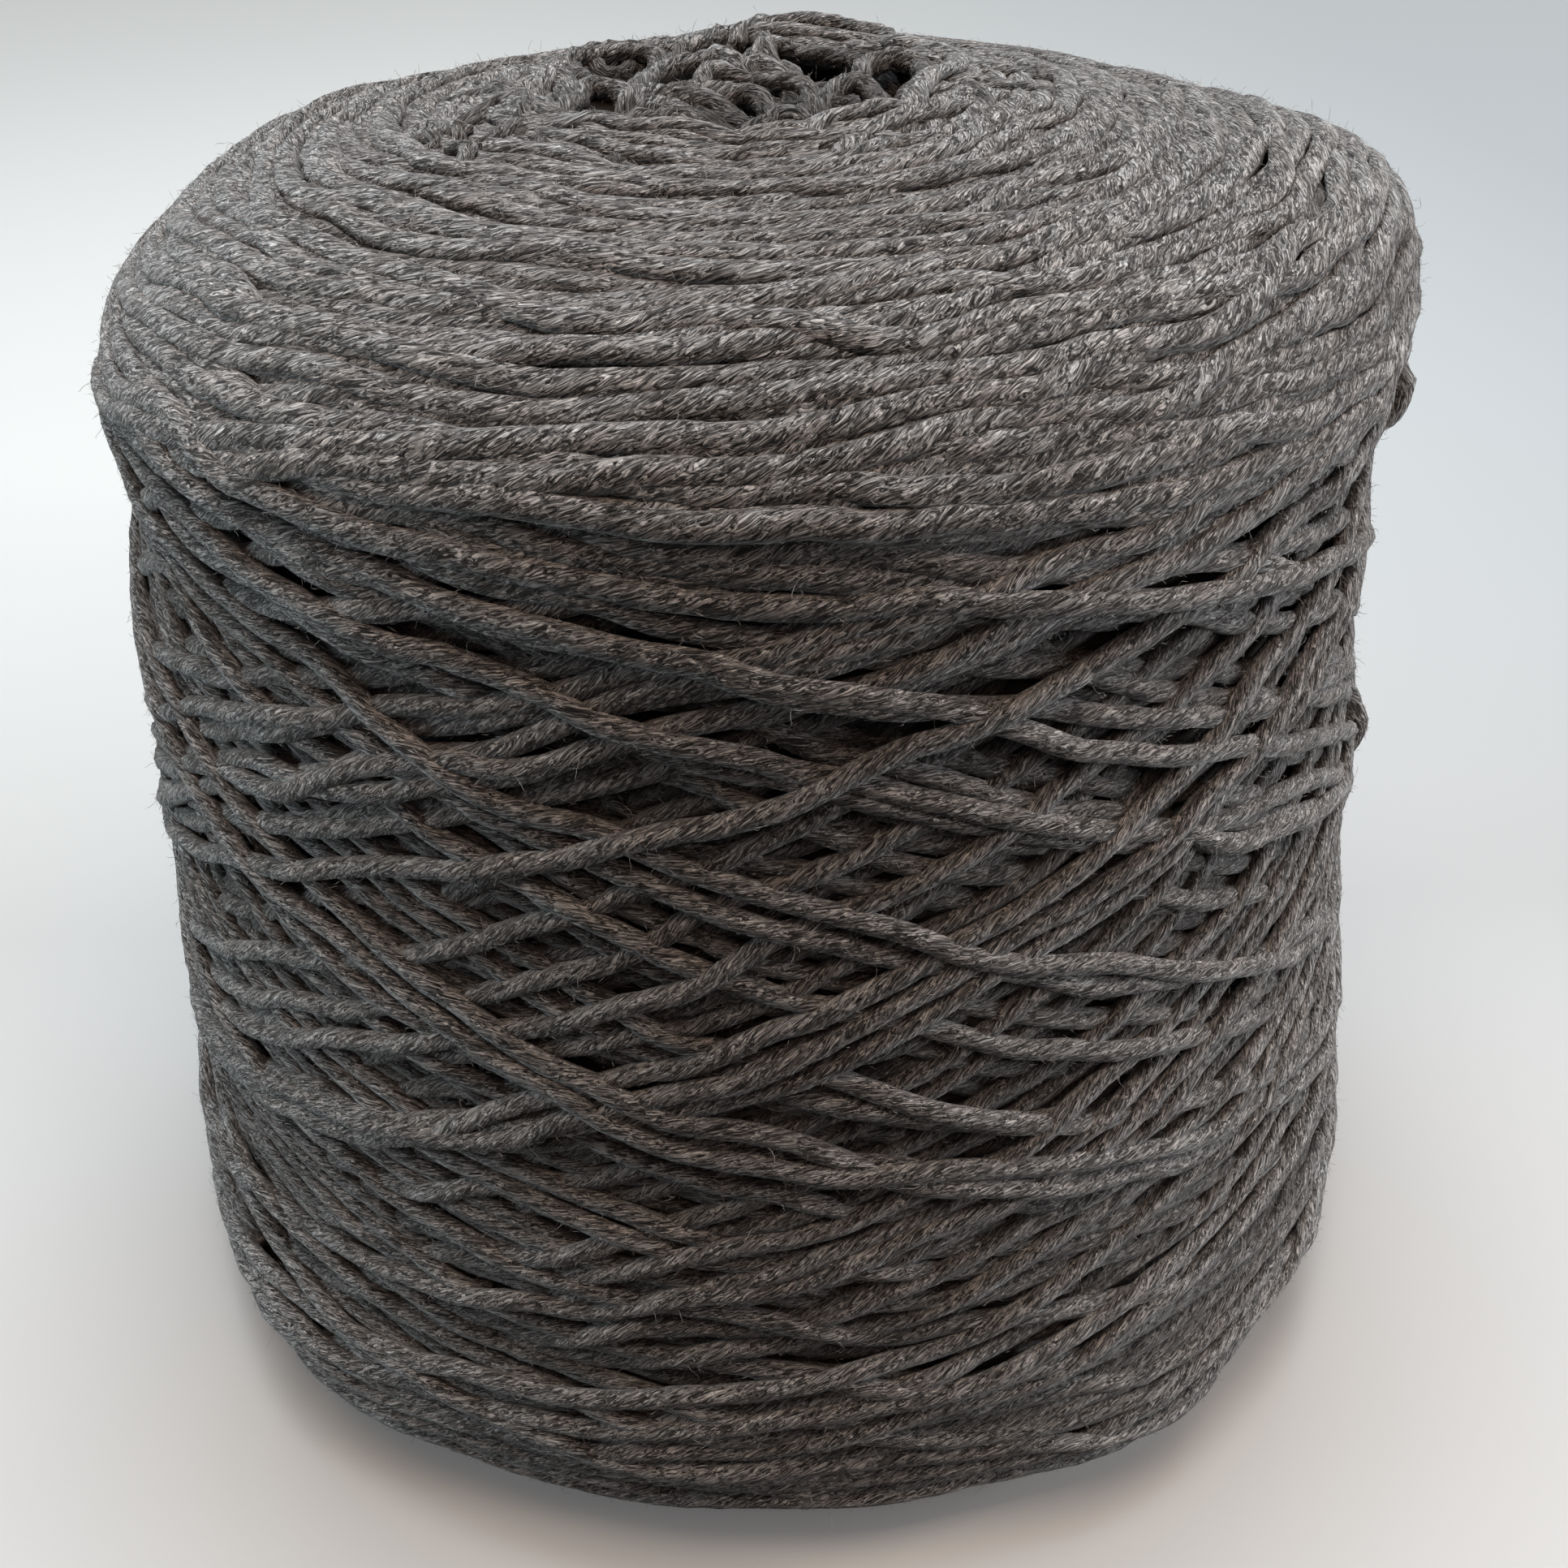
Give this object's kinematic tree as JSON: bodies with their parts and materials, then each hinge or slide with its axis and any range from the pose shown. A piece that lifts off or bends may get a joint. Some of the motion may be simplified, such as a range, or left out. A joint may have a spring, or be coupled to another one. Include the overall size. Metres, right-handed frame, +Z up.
{
  "type": "yarn cone",
  "caption": "Large cross-wound cone of plied heather yarn on a tapered paper cone, with a domed top and an open nose pit.",
  "frame": {"origin": "centre of the paper cone's foot ring, on the surface that it stands on", "axes": "+Z up along the cone's axis from foot to nose; +Y away from the viewer, +X to the right"},
  "size_m": [0.1886, 0.1882, 0.169],
  "materials": {
    "cone_paper": "matte",
    "yarn_inner": "matte",
    "yarn_outer": "matte",
    "yarn_nose": "matte"
  },
  "bodies": {
    "root": {"paper_cone": "cone_paper", "yarn_body": "yarn_inner", "outer_winding": "yarn_outer", "nose_loops": "yarn_nose"}
  },
  "joints": []
}
